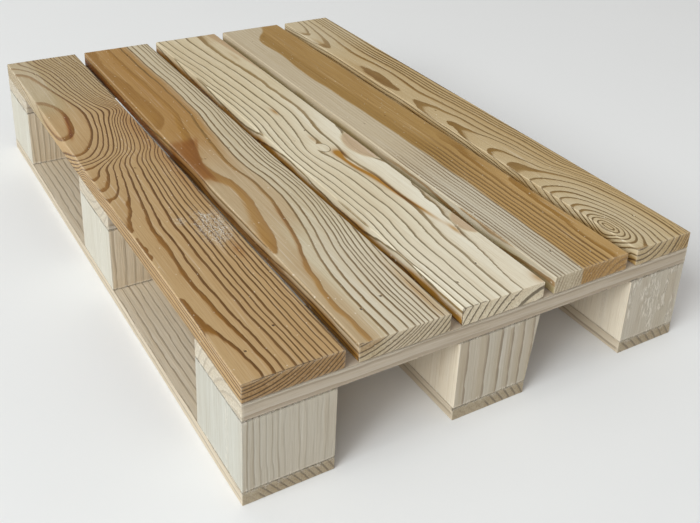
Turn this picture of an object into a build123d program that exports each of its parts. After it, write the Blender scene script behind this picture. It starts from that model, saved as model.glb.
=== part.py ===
"""Small wooden pallet: five deck boards on three stringers, nine blocks and three skids.

Millimetres, +Z up, origin on the floor under the middle of the pallet. X runs along the deck
boards, from the rear row of blocks to the front row. Y runs across them, from left to right.
The deck boards, stringers, blocks and skids are stacked face to face and nailed together.
"""
import math
import os

from build123d import *

# ---- Driving dimensions ----
length = 600.0              # deck boards and skids, along X

deck_thickness = 15.0
stringer_thickness = 14.0
block_height = 60.0
skid_thickness = 11.0

deck_board_width = 75.0     # deck boards 1 to 4
last_board_width = 60.0     # deck board 5, ripped narrower to finish the deck
deck_gap = 10.0             # open joint between two deck boards

end_row_length = 75.0       # front and rear stringers and blocks, along X
middle_row_length = 80.0    # middle stringer and blocks, along X

left_block_width = 70.0     # left blocks and left skid
centre_block_width = 75.0   # centre blocks, under the stringers
centre_skid_width = 68.0    # centre skid, and the foot that the centre blocks lean in to
right_block_width = 61.0    # right blocks and right skid

deck_edge_radius = 1.2      # planed deck boards
rough_edge_radius = 0.6     # sawn stringers and skids

# ---- Fasteners: brads through the deck from above, nails through the skids from below ----
brad_head_radius = 1.1
brad_shank_radius = 0.8
brad_head_thickness = 0.8
brad_sink = 0.7             # head below the deck's top face
brad_block_bite = 11.0      # depth of a long brad in the block
brad_stringer_cover = 4.0   # stringer left below a short brad's point
brad_spots = ((6.0, -18.0), (-6.0, 6.0))    # X and Y from the middle of the crossing
brad_wander = 2.5           # how far the hand-held nailer strays from those spots
brad_turns = (2.3, 1.7, 2.9)    # what each board, row and spot adds to the stray's angle, radians
brad_side_turn = 1.4        # how much faster that angle runs for Y than for X

nail_head_radius = 2.6
nail_shank_radius = 1.1
nail_head_thickness = 1.0
nail_sink = 0.5
nail_block_bite = 24.0
nail_spots = ((20.0, 13.0), (-20.0, -13.0))

point_length = 2.5          # tapered tip of a brad or nail
point_radius = 0.2
hole_overrun = 1.0          # how far a recess cut runs past the face it opens in

# ---- Levels, from the floor up ----
skid_top = skid_thickness
block_top = skid_top + block_height
stringer_top = block_top + stringer_thickness
deck_top = stringer_top + deck_thickness

# ---- Deck boards across Y: number -> (low side, high side) ----
board_widths = [deck_board_width] * 4 + [last_board_width]
width = sum(board_widths) + deck_gap * (len(board_widths) - 1)
boards = {}
side = -width / 2
for number, board_width in enumerate(board_widths, start=1):
    boards[number] = (side, side + board_width)
    side += board_width + deck_gap

# ---- Rows along X: name -> (low end, high end) ----
rows = {
    "front": (length / 2 - end_row_length, length / 2),
    "middle": (-middle_row_length / 2, middle_row_length / 2),
    "rear": (-length / 2, -length / 2 + end_row_length),
}

# ---- Columns across Y: name -> (low side, high side at the foot, high side at the top) ----
centre_side = boards[3][0]
columns = {
    "left": (-width / 2, -width / 2 + left_block_width, -width / 2 + left_block_width),
    "centre": (centre_side, centre_side + centre_skid_width, centre_side + centre_block_width),
    "right": (width / 2 - right_block_width, width / 2, width / 2),
}
column_of_board = {1: "left", 3: "centre", 5: "right"}


def middle_of(span):
    return (span[0] + span[1]) / 2


def plank(x_span, y_span, z_span, along, radius):
    """A board between two corners, its four edges along the grain eased."""
    size = [high - low for low, high in (x_span, y_span, z_span)]
    blank = Pos(x_span[0], y_span[0], z_span[0]) * Box(*size, align=Align.MIN)
    return fillet(blank.edges().filter_by(along), radius)


def post(x_span, column):
    """A block, upright between skid and stringer. The centre column's high side leans."""
    low, foot, top = column
    outline = Plane.YZ * Polyline(
        (low, skid_top), (foot, skid_top), (top, block_top), (low, block_top), close=True
    )
    return Pos(X=x_span[0]) * extrude(make_face(outline), amount=x_span[1] - x_span[0], dir=(1, 0, 0))


def fastener(head_radius, head_thickness, shank_radius, total):
    """A brad or nail standing head up, with the top of its head at the origin."""
    head = Cylinder(head_radius, head_thickness, align=(Align.CENTER, Align.CENTER, Align.MAX))
    shank = Cylinder(shank_radius, total - point_length, align=(Align.CENTER, Align.CENTER, Align.MAX))
    tip = Cone(point_radius, shank_radius, point_length, align=(Align.CENTER, Align.CENTER, Align.MAX))
    return head + shank + Pos(Z=point_length - total) * tip


def recess(head_radius, sink):
    """The round hole over a sunk head, from the top of the head out past the face."""
    return Cylinder(head_radius, sink + hole_overrun, align=(Align.CENTER, Align.CENTER, Align.MIN))


def strayed(number, row_number, spot_number):
    """A small shift in X and Y, different for each brad."""
    per_board, per_row, per_spot = brad_turns
    turn = per_board * number + per_row * row_number + per_spot * spot_number
    return brad_wander * math.sin(turn), brad_wander * math.cos(brad_side_turn * turn)


def carve(wood, tools):
    """The wood with the fasteners' holes cut out of it."""
    for tool in tools:
        wood = wood - tool
    return wood


# ---- Brads: (board number, row name) -> solids and the recesses over their heads ----
brads = {}
brad_recesses = {}
for number, y_span in boards.items():
    if number in column_of_board:
        reach = deck_thickness + stringer_thickness + brad_block_bite
    else:
        reach = deck_thickness + stringer_thickness - brad_stringer_cover
    brad = fastener(brad_head_radius, brad_head_thickness, brad_shank_radius, reach - brad_sink)
    for row_number, (row, x_span) in enumerate(rows.items()):
        places = []
        for spot_number, (along, across) in enumerate(brad_spots):
            shift_x, shift_y = strayed(number, row_number, spot_number)
            x = middle_of(x_span) + along + shift_x
            y = middle_of(y_span) + across + shift_y
            places.append(Pos(x, y, deck_top - brad_sink))
        brads[number, row] = [place * brad for place in places]
        brad_recesses[number, row] = [place * recess(brad_head_radius, brad_sink) for place in places]

# ---- Nails: (column name, row name) -> solids and the recesses under their heads ----
nails = {}
nail_recesses = {}
nail = fastener(
    nail_head_radius, nail_head_thickness, nail_shank_radius,
    skid_thickness - nail_sink + nail_block_bite,
)
for column, (low, foot, _) in columns.items():
    for row, x_span in rows.items():
        places = []
        for along, across in nail_spots:
            x = middle_of(x_span) + along
            y = (low + foot) / 2 + across
            places.append(Pos(x, y, nail_sink) * Rot(X=180))
        nails[column, row] = [place * nail for place in places]
        nail_recesses[column, row] = [place * recess(nail_head_radius, nail_sink) for place in places]

# ---- Wood and fasteners, node by node ----
parts = {}

for number, y_span in boards.items():
    x_span = (-length / 2, length / 2)
    wood = plank(x_span, y_span, (stringer_top, deck_top), Axis.X, deck_edge_radius)
    for row in rows:
        wood = carve(wood, brads[number, row] + brad_recesses[number, row])
    parts[f"deck_board_{number}"] = wood
    parts[f"deck_brads_{number}"] = Compound([brad for row in rows for brad in brads[number, row]])

for row, x_span in rows.items():
    y_span = (-width / 2, width / 2)
    wood = plank(x_span, y_span, (block_top, stringer_top), Axis.Y, rough_edge_radius)
    for number in boards:
        wood = carve(wood, brads[number, row])
    parts[f"stringer_{row}"] = wood

for number, column in column_of_board.items():
    for row, x_span in rows.items():
        wood = post(x_span, columns[column])
        wood = carve(wood, brads[number, row] + nails[column, row])
        parts[f"block_{row}_{column}"] = wood

for column, (low, foot, _) in columns.items():
    wood = plank((-length / 2, length / 2), (low, foot), (0.0, skid_top), Axis.X, rough_edge_radius)
    for row in rows:
        wood = carve(wood, nails[column, row] + nail_recesses[column, row])
    parts[f"skid_{column}"] = wood
    parts[f"skid_nails_{column}"] = Compound([nail for row in rows for nail in nails[column, row]])

os.makedirs("parts", exist_ok=True)
for node, shape in parts.items():
    export_step(shape, f"parts/{node}.step")
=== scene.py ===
"""Wooden pallet: detailed timber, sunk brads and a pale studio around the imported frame.

Metres, +Z up. X runs along the deck boards towards the front row of blocks, Y across them from
left to right. Timber is worked out in millimetres and scaled when its mesh is made.

Every piece of timber is cut from its own log. A pith line and a list of ring radii give a ring
number at each point of the solid, so the grain joins up over faces, edges and sawn ends.
"""
import math

import bpy
import numpy as np
from mathutils import Matrix, Vector


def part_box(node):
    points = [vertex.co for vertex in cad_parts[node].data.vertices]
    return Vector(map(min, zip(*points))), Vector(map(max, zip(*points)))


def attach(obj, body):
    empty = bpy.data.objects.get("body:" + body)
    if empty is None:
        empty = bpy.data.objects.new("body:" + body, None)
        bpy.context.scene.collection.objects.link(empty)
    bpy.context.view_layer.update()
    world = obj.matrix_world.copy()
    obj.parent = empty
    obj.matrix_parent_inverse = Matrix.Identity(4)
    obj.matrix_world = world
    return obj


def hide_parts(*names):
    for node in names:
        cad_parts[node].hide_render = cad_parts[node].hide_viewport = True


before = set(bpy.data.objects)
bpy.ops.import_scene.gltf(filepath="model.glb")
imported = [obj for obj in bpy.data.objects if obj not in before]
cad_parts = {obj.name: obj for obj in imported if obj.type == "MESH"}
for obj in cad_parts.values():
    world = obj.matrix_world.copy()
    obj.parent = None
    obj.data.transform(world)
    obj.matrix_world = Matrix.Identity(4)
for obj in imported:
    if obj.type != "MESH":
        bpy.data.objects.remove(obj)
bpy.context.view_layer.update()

MM = 0.001
X, Y, Z = 0, 1, 2


# ---------------------------------------------------------------- numbers


def smooth(low, high, value):
    """0 below low, 1 above high, and an even S between them."""
    t = np.clip((value - low) / (high - low), 0.0, 1.0)
    return t * t * (3.0 - 2.0 * t)


def bell(value, middle, width):
    """1 in the middle, falling off over the width on both sides."""
    return np.exp(-(((value - middle) / width) ** 2))


def curve(points, place):
    """A smooth line through (place, value) pairs, level at its turns and its ends."""
    at = np.array([p[0] for p in points], float)
    value = np.array([p[1] for p in points], float)
    gap = np.diff(at)
    rise = np.diff(value) / gap
    slope = np.zeros(len(at))
    slope[1:-1] = (rise[:-1] * gap[1:] + rise[1:] * gap[:-1]) / (gap[:-1] + gap[1:])
    slope[1:-1][rise[:-1] * rise[1:] <= 0] = 0.0
    place = np.clip(place, at[0], at[-1])
    k = np.clip(np.searchsorted(at, place, side="right") - 1, 0, len(at) - 2)
    t = (place - at[k]) / gap[k]
    start = (2 * t**3 - 3 * t**2 + 1) * value[k] + (t**3 - 2 * t**2 + t) * gap[k] * slope[k]
    stop = (3 * t**2 - 2 * t**3) * value[k + 1] + (t**3 - t**2) * gap[k] * slope[k + 1]
    return start + stop


STIR_I, STIR_J, STIR_K, STIR_SEED = 374761393, 668265263, 2147483647, 1274126177    # large primes
WORD = 0xFFFFFFFF           # the hash is kept to 32 bits


def scatter(i, j, k, seed):
    """A fixed pseudo-random number in -1..1 for each whole-number place."""
    n = (i * STIR_I + j * STIR_J + k * STIR_K + seed * STIR_SEED) & WORD
    n = ((n ^ (n >> 13)) * STIR_SEED) & WORD
    n = (n ^ (n >> 16)) & WORD
    return n / (WORD / 2) - 1.0


def noise(x, y, z, seed):
    """Smooth value noise in -1..1, one bump to a unit."""
    parts = np.broadcast_arrays(*(np.asarray(v, float) for v in (x, y, z)))
    cell = [np.floor(v).astype(np.int64) for v in parts]
    f = [v - np.floor(v) for v in parts]
    f = [v * v * v * (v * (6 * v - 15) + 10) for v in f]
    total = 0.0
    for a in (0, 1):
        for b in (0, 1):
            for c in (0, 1):
                share = (
                    (f[0] if a else 1 - f[0]) * (f[1] if b else 1 - f[1]) * (f[2] if c else 1 - f[2])
                )
                total = total + share * scatter(cell[0] + a, cell[1] + b, cell[2] + c, seed)
    return total


# ---------------------------------------------------------------- logs

LATE_START = 0.64           # share of each ring that is pale early wood
LATE_WIDTH = 1.25           # usual width of the dark late wood, mm along the radius
LATE_MOST = 0.42            # most of a ring that its usual late wood takes
LATE_SPREAD = 0.35          # how much the late wood's width varies from ring to ring
WANDERS = (                 # waves in the rings: length along and across the grain in mm, share, seed
    (55, 30, 1.0, 0),
    (17, 11, 0.42, 50),
    (6, 4, 0.16, 90),
)
KNOT_PULL = (2.6, 2.2)      # how far a knot bends the rings, in its lengths and widths
KNOT_RIM = (0.75, 1.15)     # where its inside gives way to the wood round it, in its radii
KNOT_RINGS = 0.3            # share of a ring that its inside holds, from its middle to its rim


class Log:
    """The tree a piece was cut from, seen from the piece.

    s runs along the grain, v across the piece and w down into it from its best face, all in mm.
    across and above place the pith: sideways from v = 0, and over the best face, or under it
    where above is negative. ends are the radii where rings end, usual is how wide their late
    wood is, and late gives the rings where it is another width. wander is how far the rings
    stray from true circles.
    """

    def __init__(self, across, above, ends, late=None, usual=LATE_WIDTH, seed=0, wander=0.9, knots=()):
        self.across = across
        self.above = above
        self.seed = seed
        self.wander = wander
        self.knots = knots
        widths = np.diff(ends)
        radii, numbers = [ends[0]], [0.0]
        for n, (start, width) in enumerate(zip(ends[:-1], widths)):
            plain = min(usual * (1.0 + LATE_SPREAD * scatter(n, 7, 3, seed)), LATE_MOST * width)
            dark = (late or {}).get(n, plain)
            radii += [start + width - dark, start + width]
            numbers += [n + LATE_START, n + 1.0]
        self.radii = np.array(radii)
        self.numbers = np.array(numbers)
        self.first = widths[0]
        self.last = widths[-1]

    def radius(self, s, v, w):
        for knot in self.knots:
            v = v - knot.push(s, v)
        r = np.hypot(v - curve(self.across, s), w + curve(self.above, s))
        for along, across, share, shift in WANDERS:
            wave = noise(s / along, v / across, w / across, self.seed + shift)
            r = r + share * self.wander * wave
        return r

    def rings(self, s, v, w):
        """Ring number, whole where a ring ends and past LATE_START in its late wood."""
        r = self.radius(s, v, w)
        number = np.interp(r, self.radii, self.numbers)
        inner = (r - self.radii[0]) / self.first
        outer = self.numbers[-1] + (r - self.radii[-1]) / self.last
        number = np.where(r < self.radii[0], inner, number)
        number = np.where(r > self.radii[-1], outer, number)
        for knot in self.knots:
            inside = knot.inside(s, v)
            number = number * (1 - inside) + knot.number(s, v) * inside
        return number


class Knot:
    """A small branch met by the surface: rings swing round it, and its inside is near one ring.

    s and v are its middle, length and width its half lengths along and across the grain, swing
    is how far it pushes the rings, in mm, and ring is the number at its middle.
    """

    def __init__(self, s, v, length, width, swing, ring=0.0):
        self.s = s
        self.v = v
        self.length = length
        self.width = width
        self.swing = swing
        self.ring = ring

    def reach(self, s, v):
        return np.hypot((s - self.s) / self.length, (v - self.v) / self.width)

    def push(self, s, v):
        along, across = KNOT_PULL
        off = (v - self.v) / self.width
        near = np.exp(-(((s - self.s) / (along * self.length)) ** 2) - (off / across) ** 2)
        return self.swing * off * near

    def inside(self, s, v):
        return 1.0 - smooth(*KNOT_RIM, self.reach(s, v))

    def number(self, s, v):
        return self.ring + KNOT_RINGS * self.reach(s, v)


BEYOND = 1000.0             # past the ends of every piece, mm


def steady(value):
    """A pith line that keeps its place along the piece."""
    return [(-BEYOND, value), (BEYOND, value)]


def evenly(start, width, count, growth=0.0):
    """Ring ends from a radius outwards, each ring wider than the last by growth."""
    return [start + n * width + growth * n * (n - 1) / 2 for n in range(count)]


# ---------------------------------------------------------------- timber meshes

EDGE_STEPS = (0.0, 0.15, 0.42, 0.72, 1.0)       # grid lines over an eased edge, in radii
LINE_GAP = 0.35             # least gap from an even grid line to a fixed one, in steps
PIT_MOUTH = 1.15            # mouth of the hole over a sunk head, in head radii
PIT_FLOOR = 0.92            # its floor, a little narrower
PIT_REACH = 1.9             # how far the grid bends round the hole
PIT_LINES = [side * t for side in (-1, 1) for t in (0.0, 0.5, PIT_FLOOR, PIT_MOUTH, PIT_REACH)]
PIT_CLEAR = (1.1, 1.8)      # where the wood's relief comes back round the hole, in head radii
PIT_UNDER = 0.25            # wood left out under the head, mm
HEAD_SPREAD = 8.0           # points nearer than this belong to the same head, mm
SAME_LEVEL = 0.02           # points nearer than this to a level are on it, mm


def grid_lines(low, high, step, edge, marks=(), head=1.0):
    """Grid places from low to high: even, close over both eased edges and round each mark."""
    fixed = [low + edge * t for t in EDGE_STEPS] + [high - edge * t for t in EDGE_STEPS]
    fixed += [mark + head * offset for mark in marks for offset in PIT_LINES]
    fixed = np.unique(np.round(fixed, 2))
    even = np.linspace(low, high, int(round((high - low) / step)) + 1)
    clear = np.abs(even[:, None] - fixed[None, :]).min(1) > LINE_GAP * step
    return np.unique(np.concatenate([fixed, even[clear]]))


def box_grid(lines):
    """Points, quads and each quad corner's side and place on it, for a box with grid lines."""
    counts = [len(line) for line in lines]
    quads, sides, places = [], [], []
    for axis in (X, Y, Z):
        b, c = (axis + 1) % 3, (axis + 2) % 3
        ib, ic = np.meshgrid(np.arange(counts[b]), np.arange(counts[c]), indexing="ij")
        fb = (lines[b] - lines[b][0]) / (lines[b][-1] - lines[b][0])
        fc = (lines[c] - lines[c][0]) / (lines[c][-1] - lines[c][0])
        for end in (0, 1):
            index = np.zeros(ib.shape + (3,), np.int64)
            index[..., axis] = end * (counts[axis] - 1)
            index[..., b], index[..., c] = ib, ic
            key = index[..., X] + counts[X] * (index[..., Y] + counts[Y] * index[..., Z])
            place = np.stack([fb[ib], fc[ic]], -1)
            order = [(0, 0), (1, 0), (1, 1), (0, 1)]
            if end == 0:
                order.reverse()
            cut = [
                (slice(p, counts[b] - 1 + p), slice(q, counts[c] - 1 + q)) for p, q in order
            ]
            quads.append(np.stack([key[k] for k in cut], -1).reshape(-1, 4))
            places.append(np.stack([place[k] for k in cut], -2).reshape(-1, 4, 2))
            sides.append(np.full(len(quads[-1]), 2 * axis + end))
    keys, faces = np.unique(np.concatenate(quads), return_inverse=True)
    faces = faces.reshape(-1, 4)
    points = np.stack(
        [
            lines[X][keys % counts[X]],
            lines[Y][keys // counts[X] % counts[Y]],
            lines[Z][keys // (counts[X] * counts[Y])],
        ],
        -1,
    )
    return points, faces, np.concatenate(sides), np.concatenate(places)


def eased(points, low, high, radius):
    """The box's points with its edges rounded, and the outward normal at each.

    radius holds the rounding along X, Y and Z.
    """
    radius = np.asarray(radius, float)
    core = np.clip(points, low + radius, high - radius)
    lean = (points - core) / radius
    size = np.linalg.norm(lean, axis=1, keepdims=True)
    normal = lean / size
    points = core + radius * normal
    normal = normal / radius
    return points, normal / np.linalg.norm(normal, axis=1, keepdims=True)


class Pits:
    """Round holes over sunk heads: their (x, y) places in mm and the face that they open in."""

    def __init__(self, node, face, sign):
        low, high = (np.array(corner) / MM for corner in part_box(node))
        corners = np.array([v.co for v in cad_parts[node].data.vertices]) / MM
        level = high[Z] if sign > 0 else low[Z]
        left = corners[np.abs(corners[:, Z] - level) < SAME_LEVEL][:, :2]
        self.places = []
        while len(left):
            near = np.hypot(*(left - left[0]).T) < HEAD_SPREAD
            self.places.append((left[near].min(0) + left[near].max(0)) / 2)
            self.head = (left[near].max(0) - left[near].min(0)).max() / 2
            left = left[~near]
        self.face = face
        self.sign = sign
        self.depth = abs(face - level) + PIT_UNDER

    def sink(self, points):
        """Bends the square grid round each hole and drops the points inside it."""
        reach, mouth, floor = (t * self.head for t in (PIT_REACH, PIT_MOUTH, PIT_FLOOR))
        on_face = np.abs(points[:, Z] - self.face) < 1e-6
        for place in self.places:
            off = points[:, :2] - place
            square = np.abs(off).max(1)
            near = on_face & (square < reach) & (square > 1e-6)
            turned = off * (square / np.maximum(np.hypot(off[:, 0], off[:, 1]), 1e-9))[:, None]
            blend = 1.0 - smooth(mouth, reach, square)
            points[near, :2] = (off + (turned - off) * blend[:, None] + place)[near]
            drop = self.depth * (1.0 - smooth(floor - 0.01, mouth, square))
            points[on_face, Z] -= self.sign * drop[on_face]

    def clear(self, points):
        """0 in the holes and 1 away from them."""
        near, far = (t * self.head for t in PIT_CLEAR)
        away = np.ones(len(points))
        for place in self.places:
            away *= smooth(near, far, np.hypot(*(points[:, :2] - place).T))
        return away


MAP_MARGIN = 0.008          # empty border of each rectangle in the flat map
MAP_EDGE, MAP_UNDER, MAP_TOP = 0.11, 0.28, 0.40     # heights of a long piece's rows
STUBBY = 2.0                # a piece less drawn out than this gets six equal rectangles


def atlas(spans, grain):
    """Where each side of the box goes in its flat map: side -> (u0, v0, u1, v1, turned).

    Long sides run along u, first the two narrow ones, then the underside and the top. The two
    sawn ends share the last row.
    """
    b, c = (grain + 1) % 3, (grain + 2) % 3
    margin = MAP_MARGIN
    if max(spans) < STUBBY * min(spans):
        cells = {}
        for side in range(6):
            column, row = side % 3, side // 3
            cells[side] = (
                column / 3 + margin, row / 2 + margin, (column + 1) / 3 - margin,
                (row + 1) / 2 - margin, False,
            )
        return cells
    wide, thin = (b, c) if spans[b] >= spans[c] else (c, b)
    rows = [
        (2 * wide, MAP_EDGE), (2 * wide + 1, MAP_EDGE), (2 * thin, MAP_UNDER), (2 * thin + 1, MAP_TOP),
    ]
    cells = {}
    v = 0.0
    for side, height in rows:
        first = (side // 2 + 1) % 3
        cells[side] = (margin, v + margin, 1 - margin, v + height - margin, first != grain)
        v += height
    for end in (0, 1):
        cells[2 * grain + end] = (
            end / 2 + margin, v + margin, (end + 1) / 2 - margin, 1 - margin, b != wide,
        )
    return cells


def flat_map(mesh, sides, places, cells):
    """Lays the mesh out as its atlas says, one rectangle to a side of the box."""
    uv = np.zeros(places.shape)
    for side, (u0, v0, u1, v1, turned) in cells.items():
        chosen = sides == side
        part = places[chosen][..., ::-1] if turned else places[chosen]
        uv[chosen] = (u0, v0) + part * (u1 - u0, v1 - v0)
    layer = mesh.uv_layers.new(name="OFBake")
    layer.uv.foreach_set("vector", uv.astype(np.float32).ravel())


class Stick:
    """How a piece lies: its grain axis, the axis across it and the axis that w runs down."""

    def __init__(self, grain, across, depth):
        self.grain = grain
        self.across = across
        self.depth = depth

    def place(self, points, low, high):
        """s, v and w of the points, with v from the low side and w from the high side."""
        s = points[:, self.grain]
        v = points[:, self.across] - low[self.across]
        w = high[self.depth] - points[:, self.depth]
        return s, v, w


FLAT_ALONG = Stick(X, Y, Z)     # deck boards and skids
FLAT_CROSS = Stick(Y, X, Z)     # stringers
UPRIGHT = Stick(Z, Y, X)        # blocks, with w from the front face

RING_PROBE = 0.3            # distance over which the rings' slope is taken, mm
LEAST_SLOPE = 1e-4          # keeps the late wood's width finite where the rings lie flat
BROAD_LATE = (1.5, 4.5)     # late wood turns from its line tone to amber between these widths, mm
WEAR_AND_HIGHLIGHT_REACH = 0.9            # how far in from an edge the wear and the painted edge highlight fade, mm
RING_LOW = 0.3              # where in each ring the wood is worn down most
ROUGH_BUMPS = (6, 1.7)      # length of the bumps along and across the grain, mm
WARP_BUMPS = (130, 45)
FUZZ_BUMPS = (2.4, 1.3)
FUZZ_DEPTH = 0.3            # how deep torn fibres are cut, mm


def bumps(s, v, w, size, seed):
    """Smooth bumps from 0 to 1."""
    along, across = size
    return 0.5 * (1.0 + noise(s / along, v / across, w / across, seed))


def timber(name, node, log, stick, material, steps, radius, tint, relief, pits=None, lean=0.0):
    """One detailed piece of wood in a node's place, with its grain stored point by point.

    steps are the grid's steps and radius the edge rounding along X, Y and Z, in mm.
    tint(s, v, w, rings) gives warm (below 0 for the cool tone, which is bluish wood in places and
    painted light elsewhere), stain_and_shade (stains, and the painted shade in the deck gaps), fuzz
    and how clear the rings are. relief is (ring relief, roughness, warp) in mm. pits are the holes
    over sunk heads, and lean is how much narrower the foot is than the top, as a share.
    """
    low, high = (np.array(corner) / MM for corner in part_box(node))
    head = pits.head if pits else 1.0
    marks = [[place[a] for place in pits.places] if pits and a != Z else [] for a in (X, Y, Z)]
    lines = [grid_lines(low[a], high[a], steps[a], radius[a], marks[a], head) for a in (X, Y, Z)]
    points, faces, sides, places = box_grid(lines)
    edge_gap = np.sort(np.minimum(points - low, high - points), axis=1)[:, 1]
    wear_and_highlight = np.exp(-edge_gap / WEAR_AND_HIGHLIGHT_REACH)
    points, normal = eased(points, low, high, radius)
    if pits:
        pits.sink(points)
    if lean:
        drop = (high[Z] - points[:, Z]) / (high[Z] - low[Z])
        points[:, Y] = low[Y] + (points[:, Y] - low[Y]) * (1.0 - lean * drop)

    s, v, w = stick.place(points, low, high)
    rings = log.rings(s, v, w)
    slope = np.zeros(points.shape)
    for axis in (X, Y, Z):
        shifted = points.copy()
        shifted[:, axis] += RING_PROBE
        slope[:, axis] = (log.rings(*stick.place(shifted, low, high)) - rings) / RING_PROBE
    slope -= normal * (slope * normal).sum(1, keepdims=True)
    shown = (1.0 - LATE_START) / np.maximum(np.linalg.norm(slope, axis=1), LEAST_SLOPE)
    warm, stain_and_shade, fuzz, clear = tint(s, v, w, rings)

    ring_relief, rough, warp = relief
    part = rings - np.floor(rings)
    hollow = ring_relief * (0.5 + 0.5 * np.cos(2 * math.pi * (part - RING_LOW)))
    hollow += rough * bumps(s, v, w, ROUGH_BUMPS, log.seed + 7)
    hollow += warp * bumps(s, v, w, WARP_BUMPS, log.seed + 9)
    hollow += FUZZ_DEPTH * fuzz * bumps(s, v, w, FUZZ_BUMPS, log.seed + 11)
    if pits:
        hollow *= pits.clear(points)
    points = points - normal * hollow[:, None]

    mesh = bpy.data.meshes.new(name)
    mesh.from_pydata((points * MM).tolist(), [], faces.tolist())
    flat_map(mesh, sides, places, atlas(high - low, stick.grain))
    for label, values in (
        ("ring", rings), ("shown", smooth(*BROAD_LATE, shown)), ("warm", warm), ("stain_and_shade", stain_and_shade),
        ("fuzz", fuzz), ("wear_and_highlight", wear_and_highlight), ("clear", clear),
    ):
        layer = mesh.attributes.new(label, "FLOAT", "POINT")
        layer.data.foreach_set("value", np.broadcast_to(values, rings.shape).astype(np.float32))
    mesh.polygons.foreach_set("use_smooth", np.ones(len(mesh.polygons), bool))
    mesh.materials.append(material)
    piece = bpy.data.objects.new(name, mesh)
    bpy.context.scene.collection.objects.link(piece)
    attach(piece, "root")
    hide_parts(node)


# ---------------------------------------------------------------- materials


MIX_SHARE, MIX_FIRST, MIX_SECOND, MIX_OUT = 0, 6, 7, 2      # a mix node's sockets for colours


class Graph:
    """Short calls that add shader nodes and join them up."""

    def __init__(self, name):
        self.material = bpy.data.materials.new(name)
        self.material.use_nodes = True
        self.tree = self.material.node_tree
        self.tree.nodes.clear()

    def add(self, kind, **settings):
        node = self.tree.nodes.new(kind)
        for key, value in settings.items():
            setattr(node, key, value)
        return node

    def join(self, source, socket):
        if isinstance(source, bpy.types.NodeSocket):
            self.tree.links.new(source, socket)
        elif isinstance(source, tuple) and len(source) == 3 and socket.type == "RGBA":
            socket.default_value = source + (1.0,)
        else:
            socket.default_value = source

    def attribute(self, name):
        return self.add("ShaderNodeAttribute", attribute_name=name).outputs["Fac"]

    def math(self, operation, *values):
        node = self.add("ShaderNodeMath", operation=operation)
        for value, socket in zip(values, node.inputs):
            self.join(value, socket)
        return node.outputs[0]

    def step(self, value, low, high, to_low=0.0, to_high=1.0):
        node = self.add("ShaderNodeMapRange", interpolation_type="SMOOTHSTEP")
        for source, socket in zip((value, low, high, to_low, to_high), node.inputs):
            self.join(source, socket)
        return node.outputs[0]

    def mix(self, share, first, second, blend="MIX"):
        node = self.add("ShaderNodeMix", data_type="RGBA", blend_type=blend)
        self.join(share, node.inputs[MIX_SHARE])
        self.join(first, node.inputs[MIX_FIRST])
        self.join(second, node.inputs[MIX_SECOND])
        return node.outputs[MIX_OUT]

    def toned(self, share, colour, tone):
        """The colour darkened by a tone, as far as share says."""
        return self.mix(share, colour, tone, "MULTIPLY")

    def scaled(self, vector, scales):
        node = self.add("ShaderNodeVectorMath", operation="MULTIPLY")
        self.join(vector, node.inputs[0])
        self.join(scales, node.inputs[1])
        return node.outputs[0]

    def noise(self, where, scales, detail=2.0, roughness=0.55):
        """Noise with so many bumps to a metre along X, Y and Z."""
        node = self.add("ShaderNodeTexNoise")
        self.join(self.scaled(where, scales), node.inputs["Vector"])
        node.inputs["Scale"].default_value = 1.0
        node.inputs["Detail"].default_value = detail
        node.inputs["Roughness"].default_value = roughness
        return node.outputs["Fac"]

    def finish(self, colour, roughness, relief, specular, metallic=0.0):
        """The finished material. relief is a list of (height, distance in m) for bumps."""
        shader = self.add("ShaderNodeBsdfPrincipled")
        self.join(colour, shader.inputs["Base Color"])
        self.join(roughness, shader.inputs["Roughness"])
        shader.inputs["Specular IOR Level"].default_value = specular
        shader.inputs["Metallic"].default_value = metallic
        normal = None
        for height, distance in relief:
            bump = self.add("ShaderNodeBump")
            bump.inputs["Strength"].default_value = 1.0
            bump.inputs["Distance"].default_value = distance
            self.join(height, bump.inputs["Height"])
            if normal:
                self.join(normal, bump.inputs["Normal"])
            normal = bump.outputs[0]
        if normal:
            self.join(normal, shader.inputs["Normal"])
        out = self.add("ShaderNodeOutputMaterial")
        self.join(shader.outputs[0], out.inputs["Surface"])
        return self.material


def along_grain(grain, along, across):
    """Noise scales for a grain axis."""
    scales = [across] * 3
    scales[grain] = along
    return tuple(scales)


# Bumps to a metre, along and across the grain.
FIBRE = (11.0, 560.0)
HAIR = (60.0, 2100.0)
CLOUD = (8.0, 24.0)
# Painted glints: the size of the small pale specks on the deck.
SPARKLE = (330.0, 520.0)
GRIT = (780.0, 780.0)

RAGGED_HAIR = 0.10          # how far hairs and fibres shift a ring's border, in rings
RAGGED_FIBRE = 0.07
LATE_RISE = (0.05, 0.10)    # how softly late wood starts, before and after its border, in rings
LATE_FALL = 0.965           # where in a ring late wood starts to give way to the next ring
END_GRAIN = (0.55, 0.9)     # a face is a sawn end where its normal is this much along the grain

CLOUD_TONE = (0.82, 0.76, 0.66)
FIBRE_TONE = (0.62, 0.52, 0.38)
HAIR_TONE = (0.60, 0.50, 0.36)
GLEAM = (0.95, 0.93, 0.88)          # bright fibres in early wood
RAMP_TONE = (0.80, 0.70, 0.56)      # early wood just before the late wood
LATE_END_TONE = (0.55, 0.46, 0.36)
LATE_FIBRE_TONE = (0.55, 0.44, 0.32)
END_LINE_TONE = (0.45, 0.42, 0.40)
END_GRIT_TONE = (0.50, 0.43, 0.36)
RUBBED_AND_LIT = (0.74, 0.64, 0.49)         # edges rubbed pale, partly wear and partly a painted highlight
TORN = (0.78, 0.72, 0.62)           # torn fibres
SPARKLE_TONE = (0.80, 0.74, 0.62)       # painted glints: small pale specks standing in for highlights


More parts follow.
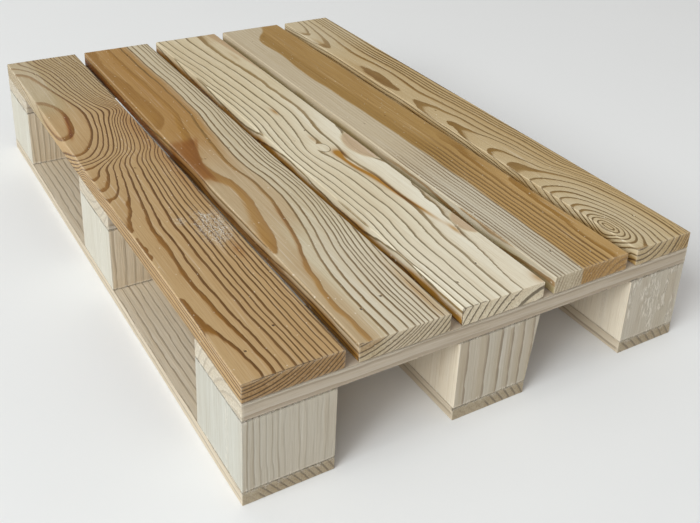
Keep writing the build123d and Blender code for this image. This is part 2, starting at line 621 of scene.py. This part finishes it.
def timber_material(
    name, grain, pale, tan, line, amber, strength, cool=(0.66, 0.60, 0.48), soak_and_shade=(0.64, 0.37, 0.08),
    sawn=(0.92, 0.88, 0.82), bite=0.8, fade=0.28, sparkles=0.0, tear=(650.0, 1500.0),
):
    """Wood read from the stored grain. pale, tan and cool are early wood, line and amber late wood.

    strength is how far the late wood takes over, soak_and_shade tones stained wood and gives the
    painted shade deep in the deck gaps, sawn tones the sawn ends, bite is how dark the late wood
    is on them, fade is how far each ring darkens on the way to its late wood, sparkles is how
    strong the small painted glints are, and tear is how fine the torn fibres are along and across
    the grain. The cool tone also gives painted light: the lit left sides of the blocks, the lit
    stringer ends and a painted window reflection on board 3.
    """
    g = Graph(name)
    where = g.add("ShaderNodeTexCoord").outputs["Object"]
    ring, shown, warm, stain_and_shade, fuzz, wear_and_highlight, clear = (
        g.attribute(label) for label in ("ring", "shown", "warm", "stain_and_shade", "fuzz", "wear_and_highlight", "clear")
    )
    fibre = g.noise(where, along_grain(grain, *FIBRE), detail=3.0, roughness=0.6)
    hair = g.noise(where, along_grain(grain, *HAIR), roughness=0.7)
    cloud = g.noise(where, along_grain(grain, *CLOUD), detail=3.0)
    speck = g.noise(where, along_grain(grain, *tear), detail=1.0, roughness=0.5)
    grit = g.noise(where, along_grain(grain, *GRIT), roughness=0.65)
    sparkle = g.noise(where, along_grain(grain, *SPARKLE), detail=0.0)

    # Late wood: the last part of each ring, with a ragged border.
    ragged = g.math("MULTIPLY_ADD", g.math("SUBTRACT", hair, 0.5), RAGGED_HAIR, ring)
    ragged = g.math("MULTIPLY_ADD", g.math("SUBTRACT", fibre, 0.5), RAGGED_FIBRE, ragged)
    part = g.math("FRACT", ragged)
    start = g.step(cloud, 0.3, 0.7, 0.60, 0.66)
    before, after = LATE_RISE
    rise = g.step(part, g.math("SUBTRACT", start, before), g.math("ADD", start, after))
    fall = g.step(part, LATE_FALL, 1.0, 1.0, 0.0)
    late = g.math("MULTIPLY", g.math("MULTIPLY", rise, fall), clear)

    # Early wood: pale to tan or bluish, clouded and streaked, darker towards the late wood.
    early = g.mix(g.math("MAXIMUM", warm, 0.0), pale, tan)
    # The cool tone, where warm is below 0: bluish wood in places, and painted light on the blocks' left
    # sides, the stringer ends and board 3.
    early = g.mix(g.math("MAXIMUM", g.math("MULTIPLY", warm, -1.0), 0.0), early, cool)
    early = g.toned(g.step(cloud, 0.3, 0.75, 0.0, 0.34), early, CLOUD_TONE)
    early = g.toned(g.step(fibre, 0.50, 0.75, 0.0, 0.30), early, FIBRE_TONE)
    early = g.toned(g.step(hair, 0.50, 0.75, 0.0, 0.24), early, HAIR_TONE)
    early = g.mix(g.step(fibre, 0.46, 0.25, 0.0, 0.16), early, GLEAM)
    early = g.toned(g.math("MULTIPLY", clear, g.step(part, 0.0, 0.62, 0.0, fade)), early, RAMP_TONE)

    # Late wood's colour: a dark line, or amber where the face cuts it broadly.
    dark = g.mix(shown, line, amber)
    dark = g.toned(g.step(part, 0.66, 0.98, 0.0, 0.42), dark, LATE_END_TONE)
    dark = g.toned(g.step(fibre, 0.42, 0.75, 0.0, 0.40), dark, LATE_FIBRE_TONE)
    force = g.math("MULTIPLY", late, g.step(cloud, 0.25, 0.7, strength, strength * 0.78))
    # Stains, and the painted shade deep in the deck gaps, darken the wood with the soak tone.
    colour = g.toned(stain_and_shade, g.mix(force, early, dark), soak_and_shade)

    # Sawn ends.
    normal = g.add("ShaderNodeSeparateXYZ")
    g.join(g.add("ShaderNodeNewGeometry").outputs["Normal"], normal.inputs[0])
    end = g.step(g.math("ABSOLUTE", normal.outputs[grain]), *END_GRAIN)
    end_line = g.toned(1.0, line, END_LINE_TONE)
    end_colour = g.mix(g.math("MULTIPLY", late, bite), g.toned(1.0, early, sawn), end_line)
    end_colour = g.toned(g.step(grit, 0.45, 0.7, 0.0, 0.5), end_colour, END_GRIT_TONE)
    colour = g.mix(end, colour, end_colour)

    # Edges pale from wear and a painted highlight, torn fibres, and painted glints.
    # Partly wear and partly painted highlight: every edge is lightened a little.
    rubbed_and_lit = g.math("MULTIPLY", wear_and_highlight, g.step(grit, 0.35, 0.65, 0.05, 0.40))
    colour = g.mix(rubbed_and_lit, colour, RUBBED_AND_LIT)
    torn = g.math("MULTIPLY", fuzz, g.step(speck, 0.47, 0.58))
    colour = g.mix(g.math("MULTIPLY", torn, 0.8), colour, TORN)
    # Painted highlight: sparse small pale specks stand in for glints on the deck.
    sparkle_spots = g.math("MULTIPLY", g.step(sparkle, 0.81, 0.84), sparkles)
    colour = g.mix(sparkle_spots, colour, SPARKLE_TONE)

    dullness = g.math("MULTIPLY_ADD", late, -0.14, 0.64)
    dullness = g.math("MULTIPLY_ADD", g.math("SUBTRACT", fibre, 0.5), 0.22, dullness)
    dullness = g.math("MULTIPLY_ADD", fuzz, 0.2, dullness)
    relief = [(late, 0.00014), (fibre, 0.00022), (hair, 0.00014), (torn, 0.0005)]
    return g.finish(colour, dullness, relief, specular=0.32)


RUST = (0.10, 0.055, 0.03)
GRIME = (900.0, 900.0, 900.0)       # bumps to a metre


def steel_material(name, colour):
    """Dull wire, scratched and a little rusty."""
    g = Graph(name)
    where = g.add("ShaderNodeTexCoord").outputs["Object"]
    grime = g.noise(where, GRIME, detail=3.0)
    tone = g.mix(g.step(grime, 0.4, 0.7), colour, RUST)
    dullness = g.step(grime, 0.3, 0.7, 0.38, 0.7)
    return g.finish(tone, dullness, [(grime, 0.00008)], specular=0.5, metallic=0.85)


# ---------------------------------------------------------------- deck boards

DECK_STEPS = (2.2, 0.9, 2.6)
DECK_EDGE = (0.5, 1.2, 1.2)
DECK_RELIEF = (0.06, 0.05, 0.25)

# The tints place each board's patches in mm, along it from its middle and across it from
# its left side. bell() takes a patch's middle and half width, smooth() where a border begins and
# ends.


def tint_1(s, v, w, rings):
    """Tan, paler at the rear, with amber streaks and a torn patch in front of the middle."""
    rear = 1.0 - smooth(-215, -95, s)
    middle = bell(s, -90, 60) * smooth(20, 60, v)
    torn = bell(s, 117, 27) * bell(v, 61, 13) + 0.4 * bell(s, 96, 10) * bell(v, 40, 5)
    torn = 1.5 * torn * (1 + 0.7 * noise(s / 4, v / 4, 0, 71)) - 0.25
    streak = bell(v, 17 - 0.16 * (s + 135) - 0.0022 * np.maximum(s + 100, 0) ** 2, 2.0)
    streak = streak * smooth(-150, -130, s) * (1 - smooth(-92, -76, s))
    golden = 0.55 * bell(s, 158, 12) * bell(v, 64, 4) + 0.4 * bell(s, 25, 55) * bell(v, 73, 7)
    golden = golden + 0.45 * bell(s, -85, 60) * bell(v, 72, 12)
    faded = (1.0 - smooth(-170, -140, s)) * (1.0 - smooth(16, 30, v))
    warm = np.clip(0.95 - 0.75 * rear + 0.2 * middle - 0.5 * faded, -0.3, 1)
    return warm, np.clip(streak + golden, 0, 1), np.clip(torn, 0, 1), 1.0 - 0.3 * faded


def tint_2(s, v, w, rings):
    """Tan heartwood inside the flame of rings, bluish at the front right."""
    heart = 1.0 - smooth(3.1, 4.3, rings - 0.5 * smooth(40, 240, s))
    heart = heart * (1.0 - 0.55 * smooth(-60, 60, s))
    front = smooth(120, 200, s) * smooth(14, 26, v) * (1 - 0.5 * smooth(60, 72, v))
    edge = bell(s, 268, 40) * bell(v, 69, 4)
    pool_top = curve([(-50, 29), (-30, 25), (-10, 17), (5, 13), (60, 11)], s)
    pool = smooth(-44, -30, s) * (1 - smooth(35, 60, s)) * (1 - smooth(-1.5, 1.5, v - pool_top))
    loop = 0.5 * smooth(100, 125, s) * (1 - smooth(170, 220, s))
    loop = loop * smooth(2.55, 2.65, rings) * (rings < 3)
    stain_and_shade = np.clip(0.6 * edge + 0.75 * pool + loop, 0, 1)
    return 0.05 + 0.9 * heart - 0.75 * front, stain_and_shade, 0.0, 1.0


def tint_3(s, v, w, rings):
    """Pale and bluish, with an amber streak from the knot and two reddish ovals on the right. The
    bluish cast over the middle and front is a painted reflection of a cool window.
    """
    tail = curve(
        [(35, 43.5), (60, 43.5), (80, 45), (100, 49), (140, 51.7), (180, 56), (230, 60)], s,
    )
    streak = bell(v, tail, 1.9 + 1.2 * bell(s, 100, 25)) * smooth(40, 52, s) * (1 - smooth(150, 215, s))
    spots = bell(s, -60, 9) * bell(v, 35, 2) + 0.9 * bell(s, 208, 10) * bell(v, 60, 2.2)
    spots = spots + 0.6 * bell(s, 12, 9) * bell(v, 38.5, 1.8) + 0.8 * bell(s, 293, 8) * bell(v, 74, 5)
    wedge = smooth(0, 3, v - 63 - 0.065 * (s + 300)) * (1.0 - smooth(-175, -145, s))
    patch = 0.5 * (1.0 - smooth(-290, -255, s)) * bell(v, 58, 8)
    rear = 0.7 * wedge + 0.7 * bell(s, -218, 14) * bell(v, 64, 2) + patch
    blush = smooth(0.9, 0.75, np.hypot((s - 43) / 38, (v - 77) / 22))
    blush = blush + smooth(0.95, 0.8, np.hypot((s - 203) / 22, (v - 78) / 16))
    knot = bell(s, 49, 9) * bell(v, 46, 5)
    stain_and_shade = 1.3 * streak + 1.3 * knot + 0.9 * spots + 0.5 * rear
    # Painted reflection: the cool tone over the middle and front stands in for a cool window seen in
    # the surface.
    cool = smooth(-150, 0, s) * (0.45 + 0.5 * smooth(120, 260, s) + 0.5 * smooth(45, 60, v))
    warm = 0.06 + 0.6 * blush + 0.3 * wedge - cool * (1 - blush)
    return np.clip(warm, -1, 1), np.clip(stain_and_shade, 0, 1), 0.0, 1.0 - 0.8 * smooth(0.2, 0.8, blush)


def tint_4(s, v, w, rings):
    """Pale on the left and amber heartwood on the right of a long ragged border."""
    border = curve(
        [
            (-300, 52), (-283, 46), (-265, 33), (-200, 30.5), (-150, 27.5), (0, 31.5), (120, 33),
            (210, 31), (300, 27.5),
        ],
        s,
    )
    heart = smooth(-1.2, 1.2, v - border + 1.0 * noise(s / 30, v / 8, 0, 41))
    fade = 1.0 - 0.85 * smooth(60, 180, s)
    light = bell(v, curve([(-300, 50), (-160, 44), (0, 52), (120, 58)], s), 1.5)
    band = heart * fade * (0.62 + 0.38 * bell(v, 37, 9)) * (1.0 - 0.5 * light)
    calm = 1.0 - smooth(40, 110, s)
    plain = (0.9 - 0.75 * calm) * (1 - 0.7 * bell(v, 14, 4))
    clear = heart * (1.0 - 0.85 * calm) + (1 - heart) * plain
    cool = (1 - heart) * (0.25 + 0.65 * smooth(60, 170, s))
    return 0.04 + 0.92 * heart - cool, 0.92 * band, 0.0, np.clip(clear, 0, 1)


def tint_5(s, v, w, rings):
    """Tan, paler at the rear and round the whorl, with two dark patches on the left side."""
    whorl = bell(s, 262, 75) * (1 - smooth(35, 55, v))
    rear = 1.0 - smooth(-240, -150, s)
    warm = 0.45 + 0.35 * smooth(22, 48, v) - 0.6 * whorl - 0.65 * rear
    blob = bell(s, -100, 42) * bell(v, 6, 6) + bell(s, -215, 18) * bell(v, 6.5, 2.5)
    pith = 0.5 * bell(s, 262, 20) * bell(v, 6, 9)
    return np.clip(warm + pith, -0.5, 1), np.clip(0.6 * blob, 0, 1), 0.0, 1.0 - 0.25 * rear


GAP_TOP = 4.0               # how far down the sides of a gap stay free of painted shade, mm
GAP_DEEP = 9.0              # where the painted shade on them is full, mm
GAP_SIDE = (0.2, 0.7)       # how far in from a side the painted shade fades, mm


def gap_shaded(tint, width, low_side, high_side):
    """The tint with painted shade on the board's sides where they face a gap, carried as stain."""

    def deeper(s, v, w, rings):
        warm, stain_and_shade, fuzz, clear = tint(s, v, w, rings)
        near, far = GAP_SIDE
        side = low_side * (1 - smooth(near, far, v)) + high_side * smooth(width - far, width - near, v)
        depth = w + 1.5 * noise(s / 20, 0, 0, 77)
        # Painted shade: each side that faces a gap darkens from a few mm down, as the shade in the gap.
        return warm, np.maximum(stain_and_shade, side * smooth(GAP_TOP, GAP_DEEP, depth)), fuzz, clear

    return deeper


whorl_log = Log(
    across=steady(0.0),
    above=[
        (-300, 43), (-250, 34), (-200, 27.5), (-140, 14), (-100, 18), (-75, 27), (-50, 36),
        (-38, 41.2), (-27, 48.4), (-17, 52), (0, 54), (33, 57), (55, 58.8), (92, 60.3), (133, 60.7),
        (165, 61.4), (190, 61.1), (202, 60.7), (240, 60.2), (270, 59.7), (300, 59.1),
    ],
    ends=[
        10, 24, 37.2, 41.2, 44.8, 48.4, 52, 54.2, 56.5, 58.6, 61, 63.9, 66.4, 70.9, 73.8, 76.4,
        79.2, 82.9, 85.3, 88.6, 91.6, 94.8,
    ],
    late={0: 3.4, 1: 1.9, 6: 0.5, 8: 0.5, 9: 0.55, 10: 0.95, 11: 0.75, 12: 1.1},
    usual=1.05,
    seed=1,
    wander=0.6,
    knots=(Knot(-133, 95, 9, 15, -13),),
)
flame_log = Log(
    across=[(-300, 0), (90, 0), (120, -1), (160, -5), (200, -10), (300, -13)],
    above=[
        (-300, 60.9), (-240, 60.8), (-190, 60), (-100, 59.6), (-66, 61.9), (-20, 64.6), (10, 65.9),
        (34, 65.8), (62, 63.3), (90, 63.2), (120, 64.3), (160, 66), (200, 68.7), (300, 70),
    ],
    ends=[54, 61.8, 67.5, 74, 79, 82.7, 87.3, 90.9, 93.5, 95.5, 98, 101, 104.5, 108, 112],
    late={0: 4.8, 1: 2.5, 2: 1.4},
    usual=0.9,
    seed=2,
    wander=0.6,
)
knot_log = Log(
    across=[
        (-300, 68), (-200, 81.5), (-140, 83), (-60, 87), (0, 81.5), (45, 79), (100, 82), (160, 83.5),
        (220, 78), (250, 81), (300, 84),
    ],
    above=[
        (-300, -67), (-200, -62.5), (-140, -64), (-60, -62.5), (0, -62), (45, -60), (100, -61.5),
        (160, -60.5), (220, -60), (300, -54),
    ],
    ends=[52, 62, 69, 74, 81, 88, 93.7, 98.8, 103.3, 108],
    late={0: 0.4, 1: 1.5, 2: 0.9},
    seed=3,
    wander=0.7,
    knots=(Knot(33, 38, 9, 6, 5.5, 3.1),),
)
streak_log = Log(
    across=[(-300, 69), (0, 71), (130, 72), (220, 75), (300, 74)],
    above=[(-300, -40), (0, -36), (100, -34), (200, -30), (300, -29)],
    ends=[26, 32, 35.4] + evenly(38.4, 3.05, 14),
    seed=4,
    wander=0.6,
)
ring_log = Log(
    across=[(-300, 5), (-200, 7), (-100, 9), (0, 10), (100, 9), (140, 6), (300, 5)],
    above=[
        (-300, 51.5), (-250, 53.4), (-195, 55.7), (-170, 56.1), (-150, 55.8), (-100, 55.2),
        (-60, 55.6), (-40, 56.1), (-18, 55.7), (0, 55), (20, 54.2), (35, 53.5), (60, 53), (80, 52),
        (93, 50.6), (102, 49.5), (124, 48), (144, 46), (157, 44.5), (171, 39.5), (184, 33.6),
        (200, 25.9), (218, 19), (245, 8), (262, 0.5), (280, 8), (300, 16.5),
    ],
    ends=[
        2.5, 5, 8, 10.5, 14, 18, 23, 28, 33, 40, 47, 49.6, 53.4, 55.7, 59.3, 63.7, 66, 68.3, 71.2, 75,
        79,
    ],
    late={
        9: 2.2, 10: 0.6, 11: 0.45, 12: 0.85, 13: 1.2, 14: 1.4, 15: 1.15, 16: 1.15, 17: 1.4, 18: 1.7,
    },
    seed=5,
    wander=0.35,
)
deck = {
    1: (whorl_log, tint_1, dict(
        pale=(0.45, 0.35, 0.20), tan=(0.475, 0.315, 0.15), line=(0.115, 0.046, 0.004),
        amber=(0.24, 0.10, 0.006), strength=1.0, sawn=(0.80, 0.74, 0.66),
    )),
    2: (flame_log, tint_2, dict(
        pale=(0.60, 0.53, 0.385), tan=(0.385, 0.208, 0.055), line=(0.165, 0.10, 0.03),
        amber=(0.36, 0.185, 0.036), strength=0.96,
    )),
    3: (knot_log, tint_3, dict(
        pale=(0.67, 0.58, 0.40), tan=(0.48, 0.32, 0.20), line=(0.155, 0.112, 0.045),
        amber=(0.27, 0.165, 0.040), strength=0.94, soak_and_shade=(0.54, 0.29, 0.045),
        # painted reflection: the light cool tone of the window seen in board 3
        cool=(0.79, 0.735, 0.60),
    )),
    4: (streak_log, tint_4, dict(
        pale=(0.54, 0.44, 0.295), tan=(0.475, 0.295, 0.108), line=(0.15, 0.08, 0.022),
        amber=(0.32, 0.16, 0.022), strength=0.88, bite=0.35, soak_and_shade=(0.67, 0.61, 0.40),
        cool=(0.58, 0.525, 0.41),
    )),
    5: (ring_log, tint_5, dict(
        pale=(0.585, 0.48, 0.305), tan=(0.51, 0.355, 0.16), line=(0.15, 0.088, 0.024),
        amber=(0.25, 0.13, 0.018), strength=0.97, soak_and_shade=(0.72, 0.55, 0.28),
    )),
}
for number, (log, tint, look) in deck.items():
    node = f"deck_board_{number}"
    low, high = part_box(node)
    # Painted shade on the sides that face a gap.
    tint = gap_shaded(tint, (high.y - low.y) / MM, number > 1, number < len(deck))
    wood = timber_material(f"deck_wood_{number}", X, sparkles=0.5, **look)
    timber(
        f"board_{number}", node, log, FLAT_ALONG, wood, DECK_STEPS, DECK_EDGE, tint,
        DECK_RELIEF, Pits(f"deck_brads_{number}", high.z / MM, 1.0),
    )


# ---------------------------------------------------------------- stringers, blocks and skids

# Each kind's grid steps, edge rounding and relief, in mm, as timber() takes them.
CROSS_STEPS = (1.6, 2.4, 1.4)
CROSS_EDGE = (0.6, 0.4, 0.3)
CROSS_RELIEF = (0.04, 0.06, 0.2)
BLOCK_STEPS = (1.5, 1.5, 2.0)
BLOCK_EDGE = (0.5, 0.5, 0.15)
BLOCK_RELIEF = (0.06, 0.16, 0.15)
SKID_STEPS = (3.0, 1.4, 1.8)
SKID_EDGE = (0.4, 0.6, 0.6)
SKID_RELIEF = (0.05, 0.12, 0.2)


def far_end(node, axis):
    """Where a piece ends along an axis, in mm."""
    return round(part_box(node)[1][axis] / MM, 2)


def cross_tint(warm, seed, half):
    """Faint clouds, and bluish at the sawn ends, which are half the length from the middle: painted
    light for the cool light on the left end.
    """

    def tint(s, v, w, rings):
        end = smooth(half - 2.0, half - 0.2, np.abs(s))
        # Painted light: the ends turn to the cool tone for the cool light on the left end.
        cloud = warm + 0.12 * noise(s / 60, v / 25, w / 25, seed) - end
        return np.clip(cloud, -0.6, 1), 0.0, 0.0, 1.0 - 0.3 * end

    return tint


def block_tint(warm, seed, foot, top, clear, face):
    """Clouds, with fibres torn out along the sawn foot and top, and as far as face says over the
    face. The left side takes the cool tone, painted light for the light falling on it from the
    left, and is nearly plain.

    clear(v, w) is how strongly the rings show.
    """

    def tint(s, v, w, rings):
        cloud = warm + 0.2 * noise(s / 60, v / 18, w / 22, seed)
        side = 1.0 - smooth(0.3, 1.5, v)
        ragged = np.clip(1.4 + 4.0 * noise(v / 3.5, w / 3.5, 0, seed + 2), 0.4, 4.5)
        torn = 1.0 - smooth(0.0, 1.0, np.minimum(s - foot, top - s) / ragged)
        patch = face * smooth(0.05, 0.45, noise(s / 18, v / 5, w / 6, seed + 3)) * (1 - side)
        # Painted light: the left side takes the cool tone for the cool light from the left; on the
        # centre and right blocks it is a light cream that brightens sides in shade.
        streak = side * bell(w, 24, 3.0)
        cloud = cloud * (1 - side) - 0.75 * side
        fuzz = np.clip(torn + patch + 0.4 * streak, 0, 1)
        return np.clip(cloud, -1, 1), 0.0, fuzz, clear(v, w) * (1.0 - 0.8 * side)

    return tint


def skid_tint(warm, seed, half, plain):
    """Clouds, with the fibres of the sawn ends crushed white along the top edge.

    half is half the length, and plain is how wide the band without rings is on the left of the
    ends.
    """

    def tint(s, v, w, rings):
        cloud = warm + 0.15 * noise(s / 60, v / 22, w / 22, seed)
        end = 1.0 - smooth(0.5, 3.0, half - np.abs(s))
        torn = end * (1.0 - smooth(0.3, 2.6, w + 2.0 * noise(v / 2.5, 0, 0, seed + 2)))
        clear = 1.0 - 0.8 * end * (1.0 - smooth(plain - 2, plain + 2, v))
        return np.clip(cloud, 0, 1), 0.0, np.clip(torn, 0, 1), clear

    return tint


GREY_LINE = (0.26, 0.21, 0.15)
# Painted light: the pale tone of the left sides of the centre and right blocks.
LIT_SIDE_CREAM = (0.88, 0.78, 0.625)

stringer_wood = timber_material(
    "stringer_wood", Y, pale=(0.54, 0.48, 0.395), tan=(0.46, 0.38, 0.285), line=GREY_LINE,
    amber=(0.36, 0.27, 0.18), strength=0.5, sawn=(1.0, 1.0, 1.0), bite=0.3,
)
stringer_logs = {
    "front": Log(steady(70), steady(-40), evenly(30, 8.0, 12), seed=11),
    "middle": Log(steady(20), steady(40), evenly(16, 7.0, 14), seed=12),
    "rear": Log(steady(60), steady(30), evenly(12, 7.4, 14), seed=13),
}
half_cross = far_end("stringer_front", Y)
for row, log in stringer_logs.items():
    timber(
        f"cross_{row}", f"stringer_{row}", log, FLAT_CROSS, stringer_wood,
        CROSS_STEPS, CROSS_EDGE, cross_tint(0.3, 20 + log.seed, half_cross), CROSS_RELIEF,
    )


def even_rings(v, w):
    return 0.85


def left_rings(v, w):
    """Clear on the left third of the front, faint and uneven on the rest."""
    return 0.9 - 0.6 * smooth(20, 36, v) + 0.25 * noise(v / 9, 0, 0, 88)


def faint_rings(v, w):
    return 0.35 + 0.25 * noise(v / 8, w / 8, 0, 89)


BLOCK_LOOK = dict(
    grain=Z, pale=(0.53, 0.49, 0.41), tan=(0.50, 0.415, 0.31), line=GREY_LINE,
    amber=(0.40, 0.31, 0.22), strength=0.42, sawn=(0.9, 0.86, 0.8), tear=(170.0, 1100.0),
)


def block_material(name, **changes):
    return timber_material(name, **{**BLOCK_LOOK, **changes})


block_woods = {
    # Painted light: each wood's cool tone colours its blocks' left sides, standing in for the light
    # from the left.
    "left": block_material("block_wood", cool=(0.52, 0.52, 0.47)),
    "centre": block_material(
        "block_wood_wide", amber=(0.27, 0.20, 0.14), strength=0.8, fade=0.62, cool=LIT_SIDE_CREAM,
    ),
    "right": block_material("block_wood_lit_side", cool=LIT_SIDE_CREAM),
    # Painted light: a lighter copy of the block wood for the left blocks behind the first.
    "painted_bright_left": block_material(
        "block_wood_painted_bright", pale=(0.73, 0.635, 0.49), tan=(0.69, 0.54, 0.37),
        cool=(0.56, 0.56, 0.505),
    ),
}


def block_wood(place):
    """The left blocks behind the first take a lighter copy of the wood: painted light that brightens
    them.
    """
    row, column = place.split("_")
    return block_woods["painted_bright_left" if column == "left" and row != "front" else column]


block_logs = {
    "front_left": Log(steady(-150), steady(-40), evenly(150, 4.4, 24, 0.05), seed=21, wander=1.4),
    "front_centre": Log(
        steady(-90), steady(-30), [84, 103, 120.8, 133.4, 143.2, 153, 162.8, 172], usual=1.0, seed=22,
    ),
    "front_right": Log(steady(34), steady(-62), evenly(40, 6.5, 20), seed=23, wander=2.2),
    "middle_left": Log(steady(-20), steady(40), evenly(20, 5.4, 24), seed=24),
    "middle_centre": Log(steady(90), steady(-30), evenly(20, 5.0, 24), seed=25),
    "middle_right": Log(steady(-60), steady(20), evenly(20, 6.0, 24), seed=26),
    "rear_left": Log(steady(160), steady(-30), evenly(60, 5.6, 24), seed=27),
    "rear_centre": Log(steady(40), steady(50), evenly(20, 5.2, 24), seed=28),
    "rear_right": Log(steady(-50), steady(-30), evenly(20, 5.8, 24), seed=29),
}
block_rings = {"front_left": left_rings, "front_right": faint_rings}
torn_faces = {"front_right": 0.9}
skid_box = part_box("skid_centre")
top_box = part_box("block_front_centre")
centre_lean = 1.0 - (skid_box[1].y - skid_box[0].y) / (top_box[1].y - top_box[0].y)
foot, top = top_box[0].z / MM, top_box[1].z / MM
for place, log in block_logs.items():
    clear = block_rings.get(place, even_rings)
    timber(
        f"chock_{place}", f"block_{place}", log, UPRIGHT, block_wood(place),
        BLOCK_STEPS, BLOCK_EDGE,
        block_tint(0.15, 30 + log.seed, foot, top, clear, torn_faces.get(place, 0.0)),
        BLOCK_RELIEF, lean=centre_lean if place.endswith("centre") else 0.0,
    )

skid_wood = timber_material(
    "skid_wood", X, pale=(0.63, 0.555, 0.44), tan=(0.58, 0.48, 0.35), line=GREY_LINE,
    amber=(0.40, 0.31, 0.20), strength=0.6, sawn=(0.69, 0.66, 0.59), bite=0.62,
)
skid_logs = {
    "left": Log(steady(-75), steady(-90), evenly(100, 4.4, 20), usual=0.75, seed=41, wander=0.7),
    "centre": Log(steady(-60), steady(-80), evenly(80, 5.4, 18), usual=0.7, seed=42, wander=0.5),
    "right": Log(steady(-75), steady(-90), evenly(100, 6.3, 14), usual=0.9, seed=43, wander=0.7),
}
plain_bands = {"left": 12.0, "centre": 30.0, "right": 4.0}
half_skid = far_end("skid_centre", X)
for column, log in skid_logs.items():
    node = f"skid_{column}"
    timber(
        f"runner_{column}", node, log, FLAT_ALONG, skid_wood, SKID_STEPS, SKID_EDGE,
        skid_tint(0.2, 50 + log.seed, half_skid, plain_bands[column]), SKID_RELIEF,
        Pits(f"skid_nails_{column}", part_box(node)[0].z / MM, -1.0),
    )


# ---------------------------------------------------------------- brads and nails

steels = {
    "deck_brads": steel_material("brad_steel", (0.16, 0.14, 0.12)),
    "skid_nails": steel_material("nail_steel", (0.34, 0.33, 0.31)),
}
for node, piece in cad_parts.items():
    for kind, steel in steels.items():
        if node.startswith(kind):
            piece.data.materials.clear()
            piece.data.materials.append(steel)


# ---------------------------------------------------------------- studio

FLOOR_SIZE = 14.0
FLOOR_TONES = ((0.80, 0.80, 0.80), (0.83, 0.83, 0.83))
FLOOR_CLOUDS = (3.0, 3.0, 3.0)      # bumps to a metre
MIDDLE = Vector((0, 0, 0.05))       # of the pallet

# Name, place in m, size in m, power in W and colour.
LIGHTS = (
    ("key", (1.24, -4.63, 3.66), 3.4, 272.0, (0.92, 0.98, 1.0)),
    ("side", (2.18, -2.60, 2.17), 2.2, 47.0, (1.0, 0.98, 0.95)),
    ("top", (-0.8, 0.15, 2.93), 2.4, 8.0, (1.0, 0.97, 0.93)),
    ("right", (0.9, 3.2, 1.4), 2.4, 19.0, (1.0, 0.98, 0.96)),
    ("rear", (-3.3, -0.9, 1.3), 2.4, 17.0, (1.0, 0.98, 0.96)),
)


def floor_plane():
    """A sheet of matt pale paper under the pallet."""
    mesh = bpy.data.meshes.new("floor")
    half = FLOOR_SIZE / 2
    corners = [(-half, -half, 0), (half, -half, 0), (half, half, 0), (-half, half, 0)]
    mesh.from_pydata(corners, [], [(0, 1, 2, 3)])
    g = Graph("floor_paper")
    where = g.add("ShaderNodeTexCoord").outputs["Object"]
    tone = g.mix(g.noise(where, FLOOR_CLOUDS), *FLOOR_TONES)
    mesh.materials.append(g.finish(tone, 0.85, [], specular=0.2))
    plane = bpy.data.objects.new("floor", mesh)
    bpy.context.scene.collection.objects.link(plane)


def soft_light(name, place, size, power, colour):
    """A square softbox aimed at the middle of the pallet."""
    lamp = bpy.data.lights.new(name, "AREA")
    lamp.shape = "SQUARE"
    lamp.size = size
    lamp.energy = power
    lamp.color = colour
    holder = bpy.data.objects.new(name, lamp)
    holder.location = place
    holder.rotation_euler = (MIDDLE - Vector(place)).to_track_quat("-Z", "Y").to_euler()
    bpy.context.scene.collection.objects.link(holder)


def surroundings(colour, strength):
    """Even light from all round."""
    world = bpy.data.worlds.new("studio")
    world.use_nodes = True
    back = world.node_tree.nodes["Background"]
    back.inputs["Color"].default_value = colour + (1.0,)
    back.inputs["Strength"].default_value = strength
    bpy.context.scene.world = world


def camera():
    """Stands off the front left corner and looks down along the deck, rolled slightly."""
    eye = Vector((0.7228, -0.3939, 0.4886))
    heading = math.radians(32.0)        # from -X towards +Y
    pitch = math.radians(25.42)         # below the horizon
    roll = math.radians(2.6)
    forward = Vector((
        -math.cos(pitch) * math.cos(heading), math.cos(pitch) * math.sin(heading), -math.sin(pitch),
    ))
    right = forward.cross(Vector((0, 0, 1))).normalized()
    up = right.cross(forward)
    turned_right = math.cos(roll) * right + math.sin(roll) * up
    turned_up = -math.sin(roll) * right + math.cos(roll) * up
    turn = Matrix((turned_right, turned_up, -forward)).transposed()
    lens = bpy.data.cameras.new("camera")
    lens.lens = 49.2
    lens.sensor_width = 36.0
    lens.shift_y = -0.174
    lens.clip_start = 0.02
    holder = bpy.data.objects.new("camera", lens)
    holder.matrix_world = Matrix.Translation(eye) @ turn.to_4x4()
    bpy.context.scene.collection.objects.link(holder)
    bpy.context.scene.camera = holder


floor_plane()
surroundings((1.0, 0.985, 0.96), 0.28)
for light in LIGHTS:
    soft_light(*light)
camera()
bpy.context.scene.view_settings.view_transform = "Standard"
